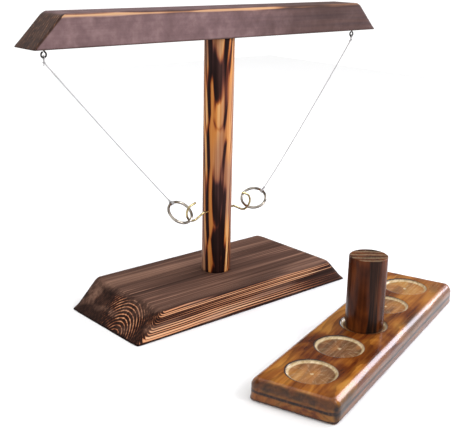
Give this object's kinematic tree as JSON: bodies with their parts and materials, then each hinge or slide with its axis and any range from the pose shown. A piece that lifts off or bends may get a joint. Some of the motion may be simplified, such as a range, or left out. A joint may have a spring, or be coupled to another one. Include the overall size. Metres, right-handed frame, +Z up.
{
  "type": "ring toss set",
  "caption": "Table-top ring toss: a wooden stand with a cross beam, rings on strings that catch on hooks in the post, and a recessed ladder board with a marker peg.",
  "frame": {"origin": "centre of the base board's underside, on the table", "axes": "+Z up along the post, +X along the base and the cross beam, -Y towards the side that the ladder board lies on"},
  "size_m": [0.452, 0.344, 0.317],
  "materials": {
    "torched_pine": "satin",
    "post_pine": "satin",
    "acacia": "gloss",
    "brass_wire": "polished",
    "ring_metal": "polished",
    "dark_steel": "satin",
    "zinc_steel": "satin",
    "brass_insert": "satin",
    "cord": "matte"
  },
  "bodies": {
    "stand": {"base_board": "torched_pine", "post": "post_pine", "cross_beam": "torched_pine", "base_bolt": "zinc_steel", "base_insert": "brass_insert", "beam_stud": "zinc_steel", "beam_insert": "brass_insert", "left_hook": "brass_wire", "right_hook": "brass_wire", "left_eye": "dark_steel", "right_eye": "dark_steel", "left_eye_loop": "cord", "right_eye_loop": "cord"},
    "left_cord": {"left_top_knot": "cord", "left_string": "cord", "left_bottom_knot": "cord"},
    "left_toss": {"left_ring": "ring_metal", "left_lashing": "cord"},
    "right_cord": {"right_top_knot": "cord", "right_string": "cord", "right_bottom_knot": "cord"},
    "right_toss": {"right_ring": "ring_metal", "right_lashing": "cord"},
    "ladder": {"ladder_board": "acacia"},
    "peg": {"marker_peg": "acacia"}
  },
  "joints": [
    {"name": "left_swing", "type": "hinge", "parent": "stand", "child": "left_cord", "pos_m": [-0.206, 0, 0.273], "axis": [0.3222, -0.6481, -0.6901], "range_deg": [0, 298]},
    {"name": "left_ring_turn", "type": "hinge", "parent": "left_cord", "child": "left_toss", "pos_m": [-0.0544, 0.0107, 0.1132], "axis": [0.4886, -0.6513, -0.5806], "range_deg": [-20, 20]},
    {"name": "right_swing", "type": "hinge", "parent": "stand", "child": "right_cord", "pos_m": [0.206, 0, 0.273], "axis": [0.2236, 0.7164, 0.6609], "range_deg": [0, 303]},
    {"name": "right_ring_turn", "type": "hinge", "parent": "right_cord", "child": "right_toss", "pos_m": [0.0624, -0.0056, 0.1114], "axis": [-0.8643, 0.0134, -0.5028], "range_deg": [-26, 30]},
    {"name": "ladder_slide", "type": "slide", "parent": "stand", "child": "ladder", "axis": [0, -1, 0], "range_m": [0, 0.15]},
    {"name": "peg_lift", "type": "slide", "parent": "ladder", "child": "peg", "axis": [0, 0, 1], "range_m": [0, 0.08]}
  ]
}
